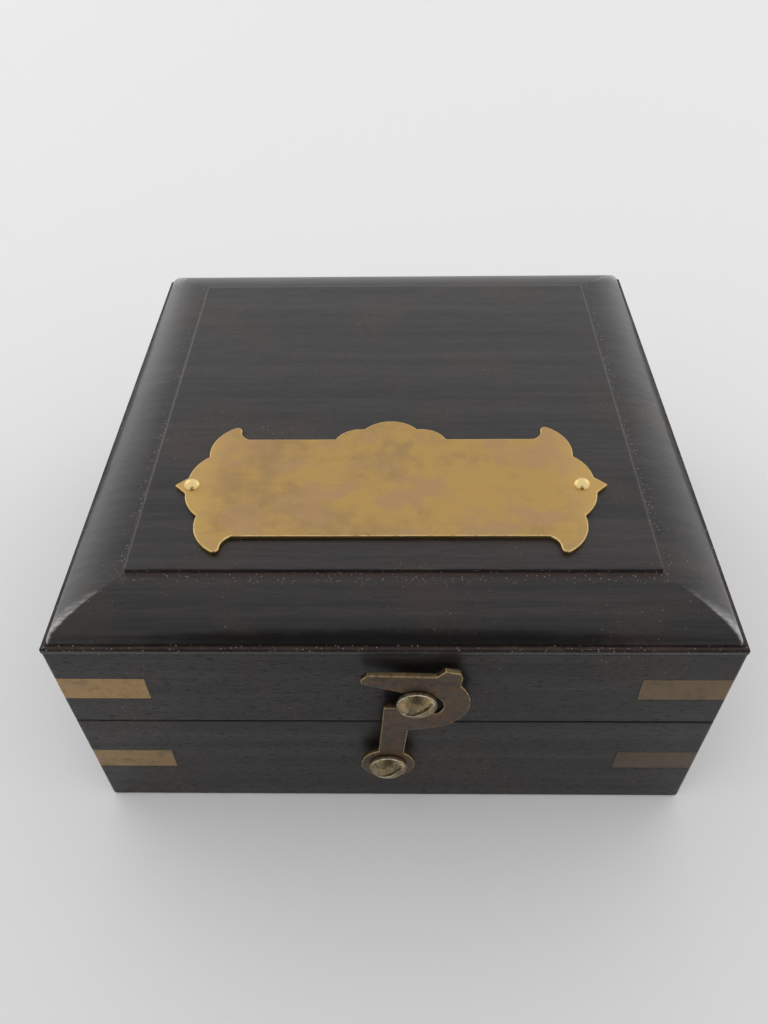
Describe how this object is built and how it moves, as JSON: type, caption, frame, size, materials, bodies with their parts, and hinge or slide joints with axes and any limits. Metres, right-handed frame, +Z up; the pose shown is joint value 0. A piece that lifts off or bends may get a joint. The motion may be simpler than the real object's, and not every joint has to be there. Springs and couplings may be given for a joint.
{
  "type": "boxed handheld bearing compass",
  "caption": "Ebonised wood case with brass corner straps, swing-hook latch and shaped name plate; a brass sighting compass lies in a fitted tray inside.",
  "frame": {"origin": "middle of the case's underside", "axes": "+Z up, +X to the right, -Y towards the latch on the front"},
  "size_m": [0.108, 0.1152, 0.0546],
  "materials": {
    "ebonised_wood": "satin, open grain",
    "plate_brass": "aged, satin",
    "strap_brass": "dull, brushed along its length",
    "hook_bronze": "dark coppery patina",
    "screw_brass": "tarnished",
    "pin_brass": "bright",
    "instrument_brass": "lacquered, turned",
    "hinge_brass": "worn",
    "steel": "bright ground",
    "glass": "polished",
    "card_white": "matte enamel",
    "jewel": "polished ruby",
    "black_rubber": "matte",
    "green_baize": "napped wool",
    "lid_velvet": "padded velvet",
    "felt": "wool felt",
    "tray_wood": "oiled"
  },
  "bodies": {
    "case": {"base_floor": "ebonised_wood", "base_wall_front": "ebonised_wood", "base_wall_back": "ebonised_wood", "base_wall_left": "ebonised_wood", "base_wall_right": "ebonised_wood", "base_corner_straps": "strap_brass", "tray_block": "tray_wood", "tray_baize": "green_baize", "well_felt": "felt", "hinge_base_leaves": "hinge_brass", "hinge_pins": "steel", "hinge_base_screws": "hinge_brass", "latch_pivot_screw": "screw_brass", "latch_spacer": "screw_brass", "compass_bowl": "instrument_brass", "pivot_post": "steel", "lubber_ring": "instrument_brass", "glass_gasket": "black_rubber", "crystal_glass": "glass", "retaining_ring": "instrument_brass", "front_bracket": "instrument_brass", "rear_bracket": "instrument_brass", "front_bracket_screws": "instrument_brass", "rear_bracket_screws": "instrument_brass", "front_sight_pin": "steel", "prism_leaf_pin": "steel", "brake_bush": "instrument_brass", "thumb_ring_lug": "instrument_brass"},
    "lid": {"lid_top_board": "ebonised_wood", "lid_wall_front": "ebonised_wood", "lid_wall_back": "ebonised_wood", "lid_wall_left": "ebonised_wood", "lid_wall_right": "ebonised_wood", "lid_corner_straps": "strap_brass", "lid_pad": "lid_velvet", "hinge_lid_leaves": "hinge_brass", "hinge_lid_screws": "hinge_brass", "name_plate": "plate_brass", "name_plate_pins": "pin_brass", "catch_screw": "screw_brass"},
    "hook": {"latch_hook": "hook_bronze"},
    "card": {"compass_card": "card_white", "card_cap": "instrument_brass", "cap_jewel": "jewel", "card_magnets": "steel"},
    "ring": {"bearing_ring": "instrument_brass"},
    "sight": {"front_sight": "instrument_brass", "sight_hair": "steel"},
    "prism_mount": {"prism_leaf": "instrument_brass", "prism": "glass"},
    "brake": {"brake_button": "instrument_brass"},
    "finger_ring": {"thumb_ring": "instrument_brass"}
  },
  "joints": [
    {"name": "lid_hinge", "type": "hinge", "parent": "case", "child": "lid", "pos_m": [0, 0.055, 0.027], "axis": [-1, 0, 0], "range_deg": [0, 110]},
    {"name": "hook_swing", "type": "hinge", "parent": "case", "child": "hook", "pos_m": [-0.0009, -0.05588, 0.0166], "axis": [0, 1, 0], "range_deg": [0, 95]},
    {"name": "card_spin", "type": "hinge", "parent": "case", "child": "card", "pos_m": [0, 0, 0.01945], "axis": [0, 0, 1], "continuous": true},
    {"name": "ring_turn", "type": "hinge", "parent": "case", "child": "ring", "pos_m": [0, 0, 0.02326], "axis": [0, 0, 1], "continuous": true},
    {"name": "sight_fold", "type": "hinge", "parent": "case", "child": "sight", "pos_m": [0, -0.03921, 0.0305], "axis": [1, 0, 0], "range_deg": [0, 90]},
    {"name": "prism_fold", "type": "hinge", "parent": "case", "child": "prism_mount", "pos_m": [0, 0.03921, 0.0305], "axis": [-1, 0, 0], "range_deg": [0, 90]},
    {"name": "brake_press", "type": "slide", "parent": "case", "child": "brake", "axis": [-1, 0, 0], "range_m": [0, 0.0012], "stiffness_N_per_m": 150, "springref_m": -0.001},
    {"name": "thumb_ring_swing", "type": "hinge", "parent": "case", "child": "finger_ring", "pos_m": [-0.02773, 0.02773, 0.0151], "axis": [0.7071, 0.7071, 0], "range_deg": [0, 90]}
  ],
  "couplings": [
    {"joint": "sight_fold", "follows": "lid_hinge", "ratio": 0.81818},
    {"joint": "prism_fold", "follows": "lid_hinge", "ratio": 0.81818}
  ]
}
